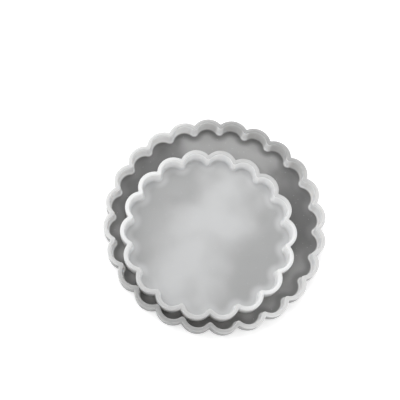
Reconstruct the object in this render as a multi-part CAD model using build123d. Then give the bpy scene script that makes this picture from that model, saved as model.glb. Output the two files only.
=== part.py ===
from build123d import *
import os
from math import cos, pi, radians, sin, sqrt

# A nested pair of scalloped round tray moulds, each cast in one piece of translucent silicone rubber.
# Each mould is a shallow open tray: a thin flat floor inside one upright wall that runs round in equal
# lobes. The small mould stands on the floor of the large one, pushed over until two of its lobes all
# but touch the large wall. Origin: centre of the large mould's flat underside. +Z is up, out of the
# open side, and lobes of the large mould point along +X, +Y, -X and -Y. Millimetres.

# The two sizes: number of lobes, diameter over the lobe crests at the rim, radius of one lobe's arc
large = dict(lobes=24, diameter=200.0, lobe_radius=15.6)
small = dict(lobes=18, diameter=157.2, lobe_radius=15.1)

# The section that both moulds share
wall_height = 16.0       # underside to rim
wall_thickness = 3.7     # across the rim, at a lobe's crest
floor_thickness = 2.6    # under the cavity
draft = 1.5              # degrees that every upright face leans, so that the casting and its tool part
notch_round = 0.8        # radius in the groove between two lobes, on the outside at the rim
ridge_round = 2.6        # radius along the ridge that stands into the cavity behind each groove
rim_round = 0.9          # radius along both edges of the rim
foot_round = 1.5         # radius round the underside
floor_round = 1.2        # radius where the cavity's wall meets its floor

# Where the small mould lies in the large one
lean_direction = -94.0   # degrees from +X; one of its lobe crests points this way
lean_distance = 12.3     # between the two centres


def polar(radius, angle, z):
    return Vector(radius * cos(angle), radius * sin(angle), z)


def scallop(mould, inset, corner_round, z):
    """The flat face inside a lobed outline at height z.

    Each lobe is an arc about a centre on a ring, its radius shortened by inset, and a small arc of
    radius corner_round, tangent to both neighbours, rounds the corner where two lobes meet.
    """
    crest = mould["diameter"] / 2
    half_pitch = pi / mould["lobes"]
    lobe_ring = crest - mould["lobe_radius"]
    reach = mould["lobe_radius"] - inset
    corner_ring = lobe_ring * cos(half_pitch) + sqrt(
        (reach + corner_round) ** 2 - (lobe_ring * sin(half_pitch)) ** 2
    )
    arcs = []
    for k in range(mould["lobes"]):
        angle = 2 * half_pitch * k
        centre = polar(lobe_ring, angle, z)
        next_centre = polar(lobe_ring, angle + 2 * half_pitch, z)
        corner_before = polar(corner_ring, angle - half_pitch, z)
        corner_after = polar(corner_ring, angle + half_pitch, z)
        start = centre + (corner_before - centre).normalized() * reach
        end = centre + (corner_after - centre).normalized() * reach
        next_start = next_centre + (corner_after - next_centre).normalized() * reach
        corner_middle = polar(corner_ring - corner_round, angle + half_pitch, z)
        arcs.append(ThreePointArc(start, polar(crest - inset, angle, z), end))
        arcs.append(ThreePointArc(end, corner_middle, next_start))
    return Face(Wire(arcs))


def edges_at(solid, z):
    """The edges of a solid that lie flat at height z."""
    box = [(edge, edge.bounding_box()) for edge in solid.edges()]
    flat = 0.01
    return [e for e, b in box if abs(b.min.Z - z) < flat and abs(b.max.Z - z) < flat]


def tray(mould):
    """One mould, standing on z = 0: a drafted lobed block with a drafted lobed cavity in its top."""
    block = extrude(scallop(mould, 0, notch_round, wall_height), -wall_height, taper=draft)
    depth = wall_height - floor_thickness
    mouth = scallop(mould, wall_thickness, ridge_round, wall_height)
    cavity = extrude(mouth, -depth, taper=draft)
    body = block - cavity
    body = fillet(edges_at(body, wall_height), rim_round)
    body = fillet(edges_at(body, 0), foot_round)
    return fillet(edges_at(body, floor_thickness), floor_round)


def nested_small_mould():
    """The small mould on the large one's floor, turned and pushed along the lean direction."""
    turned = tray(small).rotate(Axis.Z, lean_direction)
    direction = radians(lean_direction)
    return turned.moved(Location(polar(lean_distance, direction, floor_thickness)))


os.makedirs("parts", exist_ok=True)
export_step(tray(large), "parts/large_mould.step")
export_step(nested_small_mould(), "parts/small_mould.step")
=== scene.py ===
import bpy
import numpy as np
from math import atan2, cos, pi, radians, sin, sqrt, tan
from mathutils import Matrix, Vector


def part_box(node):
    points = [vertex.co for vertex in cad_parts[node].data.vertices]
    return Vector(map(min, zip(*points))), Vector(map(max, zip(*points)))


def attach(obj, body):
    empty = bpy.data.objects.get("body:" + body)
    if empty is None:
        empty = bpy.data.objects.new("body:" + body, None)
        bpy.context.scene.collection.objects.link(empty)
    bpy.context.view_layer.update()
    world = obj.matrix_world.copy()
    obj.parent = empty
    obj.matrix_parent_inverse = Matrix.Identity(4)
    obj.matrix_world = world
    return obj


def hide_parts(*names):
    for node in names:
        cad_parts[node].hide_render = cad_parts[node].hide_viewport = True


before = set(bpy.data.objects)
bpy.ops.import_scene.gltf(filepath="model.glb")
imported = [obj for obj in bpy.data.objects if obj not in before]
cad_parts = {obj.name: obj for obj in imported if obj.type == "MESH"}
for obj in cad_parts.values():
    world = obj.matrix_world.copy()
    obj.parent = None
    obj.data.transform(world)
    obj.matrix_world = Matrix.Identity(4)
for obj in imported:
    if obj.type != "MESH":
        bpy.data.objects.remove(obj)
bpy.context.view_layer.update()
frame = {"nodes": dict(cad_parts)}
print("frame loaded:", ", ".join(frame["nodes"]))

largeLow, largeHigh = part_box("large_mould")
smallLow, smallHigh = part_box("small_mould")
rimHeight = largeHigh[2]
smallCentre = Vector([(a + b) / 2 for a, b in zip(smallLow, smallHigh)])
leanAngle = atan2(smallCentre.y, smallCentre.x)


# one socket of a material; an operator on it adds a Math node and gives the new socket
class Wire:
    def __init__(self, tree, socket=None):
        self.tree = tree
        self.socket = socket

    def node(self, kind, settings=None, sockets=None, output=0):
        made = self.tree.nodes.new(kind)
        for name, value in (settings or {}).items():
            setattr(made, name, value)
        for name, value in (sockets or {}).items():
            if isinstance(value, Wire):
                self.tree.links.new(value.socket, made.inputs[name])
            else:
                made.inputs[name].default_value = value
        return Wire(self.tree, made.outputs[output])

    def maths(self, operation, first, second):
        return self.node("ShaderNodeMath", {"operation": operation}, {0: first, 1: second})

    def vectors(self, operation, first, second, output="Vector"):
        kind = {"operation": operation}
        return self.node("ShaderNodeVectorMath", kind, {0: first, 1: second}, output)

    def __add__(self, other):
        return self.maths("ADD", self, other)

    def __radd__(self, other):
        return self.maths("ADD", other, self)

    def __sub__(self, other):
        return self.maths("SUBTRACT", self, other)

    def __rsub__(self, other):
        return self.maths("SUBTRACT", other, self)

    def __mul__(self, other):
        return self.maths("MULTIPLY", self, other)

    def __rmul__(self, other):
        return self.maths("MULTIPLY", other, self)

    def attribute(self, name):
        return self.node("ShaderNodeAttribute", {"attribute_name": name}, output="Fac")

    def between(self, low, high):  # 0 at low, 1 at high, smooth in between
        sockets = {"Value": self, "From Min": low, "From Max": high}
        return self.node("ShaderNodeMapRange", {"interpolation_type": "SMOOTHSTEP"}, sockets)

    def blend(self, first, second):  # colours: first where this is 0, second where it is 1
        settings = {"data_type": "RGBA"}
        return self.node("ShaderNodeMix", settings, {"Factor": self, 6: first, 7: second}, 2)


def newMaterial(name):
    material = bpy.data.materials.new(name)
    material.use_nodes = True
    tree = material.node_tree
    shader = next(n for n in tree.nodes if n.type == "BSDF_PRINCIPLED")
    return material, Wire(tree), shader


def plug(shader, **sockets):  # links wires to the shader's sockets and sets plain numbers on them
    for name, value in sockets.items():
        target = shader.inputs[name.replace("_", " ")]
        if isinstance(value, Wire):
            value.tree.links.new(value.socket, target)
        else:
            target.default_value = value


largeSilicone = dict(
    name="milkySiliconeLarge",
    tint=(0.995, 1.0, 1.0),
    wall=(0.62, 0.93),  # greys: painted shade across the middle, painted light out at the sides
    outside=(0.09, 0.21),  # greys, painted shade: darker at the foot, lighter under the rim
    # rim greys: painted shade across the middle, painted light out at the sides
    rim=(0.35, 0.60),
    floor=(0.14, 0.345),  # the floor's greys: where it is clear, and where sheen and light are painted on it
    root=0.19,  # painted shadow on the floor along the foot of the wall
    paintedLightSpot=(-0.02, 0.08, 0.0),  # the painted sheen on the floor is lightest here
    toneScale=(1.0, 1.0, 1.0),
    toneReach=(0.085, 0.02),
    farPaintedLight=0.85,  # how strong the painted light on the far side of the floor is
    cloudy=0.05,
    depth=0.007,
)
smallSilicone = dict(
    name="milkySiliconeSmall",
    tint=(0.995, 1.0, 1.0),
    # wall and rim greys: painted shade across the middle, painted light out at the sides
    wall=(0.92, 0.95),
    # greys, painted shade: darker at the foot, lighter under the rim
    outside=(0.45, 0.72),
    rim=(0.49, 0.80),
    floor=(0.42, 0.64),
    # painted light: the floor along the foot of the wall is lighter
    root=0.60,
    # the floor is painted lighter about this spot and darker away from it, painted light and shade
    paintedLightSpot=(0.0, -0.005, 0.0),
    toneScale=(1.0, 0.3, 1.0),
    toneReach=(0.065, 0.0),
    farPaintedLight=0.0,
    cloudy=0.03,
    depth=0.010,
)
rubber = dict(
    bend=1.41,  # index of refraction
    scatter=(1.0, 0.97, 0.94),
    gloss=0.26,
    litSides=0.0794,  # from this far out to the side, the painted light on the rim and the wall is at its fullest
    # how strong the painted highlight along the ridges inside the cavity is
    ridgeHighlight=0.8,
    cloudScale=22.0,
    cloudGloss=0.08,
    far=(0.10, 0.15),  # where the painted light on the floor starts again, and where it is full
    clingScale=30.0,  # patches of floor that lie flat on the table
    clingEdge=(0.42, 0.68),
    clingTone=0.25,
    rimEdge=(0.87, 0.94),  # heights up the wall between which its outside turns into the rim
    rimEdgeInside=(0.935, 0.99),
    grainScale=900.0,
    grainStrength=0.05,
    grainDepth=0.0002,
)
marks = dict(
    tone=0.9,
    bubbleScale=230.0,  # cells per metre, with an air bubble where the surface cuts a cell's middle
    bubbleSize=0.11,
    bubbleTone=0.22,
    bubbleRelief=1.5,
    dustScale=420.0,
    dustSize=0.07,
    dustTone=0.28,
    dustShift=(0.37, 0.11, 0.05),
    smudgeScale=55.0,  # finger smudges, where the rubber is less glossy
    smudgeEdge=(0.5, 0.62),
    smudgeRough=0.14,
)


def tinted(look, grey):
    return tuple(grey * channel for channel in look["tint"]) + (1.0,)


def cloudOf(wire, place, scale, detail):
    sockets = {"Vector": place, "Scale": scale, "Detail": detail}
    return wire.node("ShaderNodeTexNoise", {}, sockets)


def dotsOf(wire, place, scale, size):  # 1 at the middle of each dot, 0 away from it
    sockets = {"Vector": place, "Scale": scale}
    return wire.node("ShaderNodeTexVoronoi", {}, sockets, "Distance").between(size, size / 2)


def floorLightAndCloud(wire, place, look):  # 0 where the floor is clear, 1 where sheen and light are painted on it; random cloud and the cling patches shift it
    squeezed = wire.vectors("MULTIPLY", place, look["toneScale"])
    apart = wire.vectors("DISTANCE", squeezed, look["paintedLightSpot"], "Value")
    apart = apart + (cloudOf(wire, place, rubber["cloudScale"], 3.0) - 0.5) * look["cloudy"]
    tone = apart.between(*look["toneReach"]) + apart.between(*rubber["far"]) * look["farPaintedLight"]
    cling = cloudOf(wire, place, rubber["clingScale"], 1.0).between(*rubber["clingEdge"])
    return (tone - cling * rubber["clingTone"]).between(0.0, 1.0)


def siliconeColour(wire, place, look):
    rise = wire.attribute("rise")
    opens = wire.attribute("open")
    away = wire.attribute("away")

    def shade(factor, part):  # between the part's two greys, the first where the factor is 0
        return factor.blend(*[tinted(look, grey) for grey in look[part]])

    x = wire.node("ShaderNodeSeparateXYZ", {}, {0: place}, "X")
    # painted light: the wall and the rim are lighter out at the sides and darker across the middle;
    # the wall also gets a painted highlight along its ridges
    side = (x * x).between(0.0, rubber["litSides"] ** 2)
    wall = shade((side + wire.attribute("fold") * rubber["ridgeHighlight"]).between(0.0, 1.0), "wall")
    floor = shade(floorLightAndCloud(wire, place, look), "floor")
    # painted shadow (large mould) or painted light (small mould) on the band of floor along the foot
    # of the wall
    floor = away.between(0.3, 1.0).blend(tinted(look, look["root"]), floor)
    inside = away.between(0.0, 0.2).blend(wall, floor)
    # painted shade: the outside of the wall is darker towards its foot
    outside = shade(rise.between(0.0, 0.9), "outside")
    low, high = [a + opens * (b - a) for a, b in zip(rubber["rimEdge"], rubber["rimEdgeInside"])]
    return rise.between(low, high).blend(opens.blend(outside, inside), shade(side, "rim"))


def siliconeMaterial(look):
    material, wire, shader = newMaterial(look["name"])
    place = wire.node("ShaderNodeTexCoord", output="Object")
    bubbles = dotsOf(wire, place, marks["bubbleScale"], marks["bubbleSize"])
    shifted = wire.vectors("ADD", place, marks["dustShift"])
    dust = dotsOf(wire, shifted, marks["dustScale"], marks["dustSize"])
    specks = bubbles * marks["bubbleTone"] + dust * marks["dustTone"]
    colour = specks.blend(siliconeColour(wire, place, look), tinted(look, marks["tone"]))
    smudges = cloudOf(wire, place, marks["smudgeScale"], 4.0).between(*marks["smudgeEdge"])
    cloud = cloudOf(wire, place, rubber["cloudScale"], 3.0)
    rough = rubber["gloss"] + cloud * rubber["cloudGloss"] + smudges * marks["smudgeRough"]
    relief = cloudOf(wire, place, rubber["grainScale"], 2.0) + bubbles * marks["bubbleRelief"]
    grain = {"Height": relief, "Strength": rubber["grainStrength"], "Distance": rubber["grainDepth"]}
    plug(shader, Base_Color=colour, Roughness=rough, Normal=wire.node("ShaderNodeBump", {}, grain))
    plug(shader, Subsurface_Weight=1.0, Subsurface_Scale=look["depth"])
    plug(shader, Subsurface_Radius=rubber["scatter"], IOR=rubber["bend"])
    return material


section = dict(
    height=rimHeight,
    wall=0.0037,
    floor=0.0026,
    draft=radians(1.5),
    notchRound=0.0008,  # in the groove between two lobes, outside
    ridgeRound=0.0026,  # along the ridge behind it, inside
    rimRound=0.0009,
    footRound=0.0015,
    floorRound=0.0012,
    rootWidth=0.009,  # of the band of floor along the wall, which carries a painted shadow or painted light
    trimHeight=0.0137,  # the fine line left where the two halves of the tool met
    trimDepth=0.00012,
    underRun=0.004,  # how far in the underside's first row lies
    rings=22,  # rows of the grid across the underside, and across the floor
    crowding=0.8,
)
largeShape = dict(
    lobes=24,
    crest=0.1,
    lobe=0.0156,
    centre=Vector((0.0, 0.0, 0.0)),
    turn=0.0,
    body="large_mould",
    slack=0.0003,  # how far the soft wall and rim wander
    waves=((2, 0.4), (5, 1.9), (9, 0.3)),
)
smallShape = dict(
    lobes=18,
    crest=0.0786,
    lobe=0.0151,
    centre=Vector((smallCentre.x, smallCentre.y, smallLow[2])),
    turn=leanAngle,
    body="small_mould",
    slack=0.00025,
    waves=((2, 2.1), (5, 0.2), (7, 1.1)),
)


def outline(shape, inset, corner, lobeSteps=22, cornerSteps=10):
    # Each lobe is an arc of radius lobe - inset about a centre on a ring; each corner an arc of
    # radius corner about a centre further out, tangent to both lobes. Gives the points, and the
    # outward normals, so that point - normal * d is the same outline moved in by d more.
    halfPitch = pi / shape["lobes"]
    reach = shape["lobe"] - inset
    ring = shape["crest"] - shape["lobe"]
    cornerRing = ring * cos(halfPitch) + sqrt((reach + corner) ** 2 - (ring * sin(halfPitch)) ** 2)
    swing = atan2(cornerRing * sin(halfPitch), cornerRing * cos(halfPitch) - ring)
    turn = swing - halfPitch
    k = np.arange(shape["lobes"])[:, None] * 2 * halfPitch + shape["turn"]
    lobeNormal = k + np.linspace(-swing, swing, lobeSteps)
    cornerNormal = k + halfPitch + np.linspace(turn, -turn, cornerSteps + 2)[1:-1]
    lobeX = ring * np.cos(k) + reach * np.cos(lobeNormal)
    lobeY = ring * np.sin(k) + reach * np.sin(lobeNormal)
    cornerX = cornerRing * np.cos(k + halfPitch) - corner * np.cos(cornerNormal)
    cornerY = cornerRing * np.sin(k + halfPitch) - corner * np.sin(cornerNormal)
    x = np.hstack([lobeX, cornerX]).ravel()
    y = np.hstack([lobeY, cornerY]).ravel()
    angle = np.hstack([lobeNormal, cornerNormal]).ravel()
    return np.stack([x, y], 1), np.stack([np.cos(angle), np.sin(angle)], 1)


def roundedPath(corners, radii, steps=6):
    # A polyline with each inner corner replaced by the arc tangent to its two runs: the arc's
    # centre lies on the bisector, and its points run from one tangent point to the other.
    corners = np.array(corners, float)
    points = [corners[:1]]
    for before, corner, after, radius in zip(corners, corners[1:], corners[2:], radii):
        a = (before - corner) / np.linalg.norm(before - corner)
        b = (after - corner) / np.linalg.norm(after - corner)
        half = np.arccos(np.clip(a @ b, -1, 1)) / 2
        bisector = (a + b) / np.linalg.norm(a + b)
        centre = corner + bisector * radius / sin(half)
        first = corner + a * radius / tan(half) - centre
        last = corner + b * radius / tan(half) - centre
        t = np.linspace(0, 1, steps)[:, None]
        sweep = pi - 2 * half
        arc = (first * np.sin((1 - t) * sweep) + last * np.sin(t * sweep)) / sin(sweep)
        points.append(centre + arc)
    points.append(corners[-1:])
    return np.vstack(points)


def evenRun(start, end, steps=8):
    # The straight run from one point to the next, cut evenly: start + (end - start) * t.
    t = np.linspace(0, 1, steps)[:, None]
    return np.array(start) + (np.array(end) - np.array(start)) * t


def outerProfile():
    # The outside of the wall as (inset from the outline, height): from the underside round the
    # foot, up past the trim line, round the edge and half way across the rim.
    s = section
    lean = tan(s["draft"])
    foot = (s["height"] * lean, 0.0)
    atTrim = (s["height"] - s["trimHeight"]) * lean
    below = (atTrim, s["trimHeight"] - 2 * s["trimDepth"])
    above = (atTrim, s["trimHeight"] + 2 * s["trimDepth"])
    under = (foot[0] + s["underRun"], 0.0)
    middle = (s["wall"] / 2, s["height"])
    lower = roundedPath([under, foot, below], [s["footRound"]])
    upper = roundedPath([above, (0.0, s["height"]), middle], [s["rimRound"]])
    groove = [(atTrim + s["trimDepth"], s["trimHeight"])]
    return np.vstack([lower[:-2], evenRun(lower[-2], below), groove, upper])


def innerProfile():
    # The cavity's side of the wall as (inset from the cavity's outline, height): from the rim
    # round the edge, down the wall and round onto the floor.
    s = section
    foot = (s["height"] - s["floor"]) * tan(s["draft"])
    middle = (-s["wall"] / 2, s["height"])
    floor = (foot + s["rootWidth"], s["floor"])
    edge = roundedPath([middle, (0.0, s["height"]), (foot, s["floor"])], [s["rimRound"]])
    root = roundedPath([(0.0, s["height"]), (foot, s["floor"]), floor], [s["floorRound"]])
    return np.vstack([edge[1:-2], evenRun(edge[-2], root[1]), root[2:-2], evenRun(root[-2], floor)])


def wander(shape, angle):
    # The sum of a few slow waves round the mould, brought between 0 and 1.
    total = sum(np.sin(count * angle + start) for count, start in shape["waves"])
    return (total / len(shape["waves"]) + 1) / 2


def shellRows(shape):
    # Rows of the grid run round the outline. The first rows are the underside, the outline scaled
    # down to a pole; then come the outside of the wall, the cavity's side of it, and the cavity's
    # floor, scaled down to a second pole. Each profile is carried along the outline as
    # point - normal * inset.
    s = section
    outside, outNormal = outline(shape, 0.0, s["notchRound"])
    mouth, inNormal = outline(shape, s["wall"], s["ridgeRound"])
    outer = outerProfile()
    inner = innerProfile()
    outerXY = outside[None] - outer[:, :1, None] * outNormal[None]
    innerXY = mouth[None] - inner[:, :1, None] * inNormal[None]
    scale = np.linspace(0, 1, s["rings"] + 2)[1:-1, None, None] ** s["crowding"]
    xy = np.vstack([outerXY[:1] * scale, outerXY, innerXY, innerXY[-1:] * scale[::-1]])
    low = np.zeros(s["rings"])
    height = np.concatenate([low, outer[:, 1], inner[:, 1], low + s["floor"]])
    return xy, height, np.arctan2(outside[:, 1], outside[:, 0])


def riseOf(height):  # 0 at the cavity's floor and below it, 1 at the rim
    deck = section["floor"]
    return np.clip((height - deck) / (section["height"] - deck), 0, 1)[:, None]


def softened(shape, xy, height, angle):
    # The soft wall leans in and its rim dips, both as wander * slack * rise squared.
    lean = wander(shape, angle) * riseOf(height) ** 2 * shape["slack"]
    dip = wander(shape, angle + 1.0) * riseOf(height) ** 2 * shape["slack"]
    radius = np.hypot(xy[..., 0], xy[..., 1])
    return np.dstack([xy * (1 - lean / radius)[..., None], height[:, None] - dip])


def toneFields(shape, height, angle):
    # fold is 1 along a groove and falls to 0 a quarter of the way to the crest, and places the
    # painted highlight along the ridges inside; open is 0 on the outside of the wall and rises to 1
    # across the rim;
    # away is 0 on the wall and rises to 1 across the band of floor along it, and on the underside,
    # and places the painted shadow or painted light along the foot.
    s = section
    outer = outerProfile()
    inner = innerProfile()
    turns = (angle - shape["turn"]) * shape["lobes"] / (2 * pi)
    fold = np.clip((np.abs(turns - np.round(turns)) * 2 - 0.75) / 0.25, 0, 1)
    flat = np.ones(s["rings"])
    across = np.concatenate([outer[:, 0], s["wall"] + inner[:, 0]]) / s["wall"]
    opens = np.concatenate([flat, np.clip(across, 0, 1), flat])
    foot = (s["height"] - s["floor"]) * tan(s["draft"])
    under = np.clip(1 - outer[:, 1] / s["footRound"], 0, 1)
    band = np.clip((inner[:, 0] - foot) / s["rootWidth"], 0, 1)
    away = np.concatenate([flat, under, band, flat])
    return {"rise": riseOf(height), "fold": fold[None], "open": opens[:, None], "away": away[:, None]}


def gridFaces(rows, count):
    # Quads between each row and the next, closed round the outline, and a fan of triangles from
    # each pole; the poles are the last two points.
    row = np.arange(rows - 1)[:, None] * count
    j = np.arange(count)
    nextJ = (j + 1) % count
    quads = np.dstack([row + j, row + nextJ, row + count + nextJ, row + count + j]).reshape(-1, 4)
    last = (rows - 1) * count
    pole = np.full(count, rows * count)
    bottom = np.stack([pole, nextJ, j], 1)
    top = np.stack([pole + 1, last + j, last + nextJ], 1)
    return quads.tolist() + bottom.tolist() + top.tolist()


def mouldMesh(name, shape):
    xy, height, angle = shellRows(shape)
    grid = softened(shape, xy, height, angle)
    poles = [[0.0, 0.0, 0.0], [0.0, 0.0, section["floor"]]]
    points = np.vstack([grid.reshape(-1, 3), poles]) + np.array(shape["centre"])
    mesh = bpy.data.meshes.new(name)
    mesh.from_pydata(points.tolist(), [], gridFaces(len(height), len(angle)))
    mesh.polygons.foreach_set("use_smooth", np.ones(len(mesh.polygons), bool))
    for title, values in toneFields(shape, height, angle).items():
        atPole = 1.0 if title in ("open", "away") else 0.0
        spread = np.broadcast_to(values, grid.shape[:2]).ravel()
        attribute = mesh.attributes.new(title, "FLOAT", "POINT")
        attribute.data.foreach_set("value", np.append(spread, [atPole, atPole]).astype(np.float32))
    mesh.update()
    return mesh


def addMould(name, shape, look):
    piece = bpy.data.objects.new(name, mouldMesh(name, shape))
    bpy.context.scene.collection.objects.link(piece)
    piece.data.materials.append(siliconeMaterial(look))
    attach(piece, shape["body"])
    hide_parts(shape["body"])
    print(name, "made,", len(piece.data.polygons), "faces")


addMould("large_tray_mould", largeShape, largeSilicone)
addMould("small_tray_mould", smallShape, smallSilicone)


cameraView = dict(
    aim=(-0.0211, 0.0111, rimHeight),
    azimuth=14.33,
    elevation=70.6,
    roll=12.08,
    distance=0.6288,
    lens=63.0,
    sensor=36.0,
)


def backVector(azimuth, elevation):  # from the aim towards the camera or a lamp
    a = radians(azimuth)
    e = radians(elevation)
    return Vector((sin(a) * cos(e), -cos(a) * cos(e), sin(e)))


def addCamera():
    v = cameraView
    data = bpy.data.cameras.new("camera")
    data.lens = v["lens"]
    data.sensor_width = v["sensor"]
    camera = bpy.data.objects.new("camera", data)
    bpy.context.scene.collection.objects.link(camera)
    back = backVector(v["azimuth"], v["elevation"])
    level = (-back).to_track_quat("-Z", "Y").to_matrix()
    turned = level @ Matrix.Rotation(radians(v["roll"]), 3, "Z")
    place = Matrix.Translation(Vector(v["aim"]) + back * v["distance"])
    camera.matrix_world = place @ turned.to_4x4()
    bpy.context.scene.camera = camera


studioFloor = dict(
    size=8.0,
    kerb=0.5,  # the floor turns up this high at its edge, past the horizon
    slope=0.8,
    colour=(0.93, 0.93, 0.93, 1.0),
    glow=0.4,
    glowColour=(1.0, 1.0, 1.0, 1.0),
)


def addFloor():
    half = studioFloor["size"] / 2
    out = half + studioFloor["slope"]
    square = np.array([(-1, -1, 0), (1, -1, 0), (1, 1, 0), (-1, 1, 0)])
    corners = np.vstack([square * half, square * out + (0, 0, studioFloor["kerb"])])
    faces = [(0, 1, 2, 3)] + [(k, k + 4, (k + 1) % 4 + 4, (k + 1) % 4) for k in range(4)]
    mesh = bpy.data.meshes.new("floor")
    mesh.from_pydata(corners.tolist(), [], faces)
    material, _, shader = newMaterial("paleFloor")
    plug(shader, Base_Color=studioFloor["colour"], Roughness=0.9, Specular_IOR_Level=0.1)
    plug(shader, Emission_Color=studioFloor["glowColour"], Emission_Strength=studioFloor["glow"])
    mesh.materials.append(material)
    floor = bpy.data.objects.new("floor", mesh)
    bpy.context.scene.collection.objects.link(floor)


lamps = [
    dict(name="keySoftbox", azimuth=-85.0, elevation=50.0, distance=0.95, size=0.7, power=2.2),
    dict(name="backSoftbox", azimuth=-166.0, elevation=62.0, distance=1.1, size=0.45, power=1.9),
]
surround = dict(colour=(1.0, 1.0, 1.0, 1.0), strength=0.80)


def addLamps():
    for lamp in lamps:
        data = bpy.data.lights.new(lamp["name"], "AREA")
        data.size = lamp["size"]
        data.energy = lamp["power"]
        back = backVector(lamp["azimuth"], lamp["elevation"])
        light = bpy.data.objects.new(lamp["name"], data)
        bpy.context.scene.collection.objects.link(light)
        turned = (-back).to_track_quat("-Z", "Y").to_matrix()
        light.matrix_world = Matrix.Translation(back * lamp["distance"]) @ turned.to_4x4()
    world = bpy.data.worlds.new("studio")
    world.use_nodes = True
    plug(world.node_tree.nodes["Background"], Color=surround["colour"], Strength=surround["strength"])
    bpy.context.scene.world = world


addCamera()
addFloor()
addLamps()
bpy.context.scene.view_settings.view_transform = "Standard"
print("camera, floor and light placed")
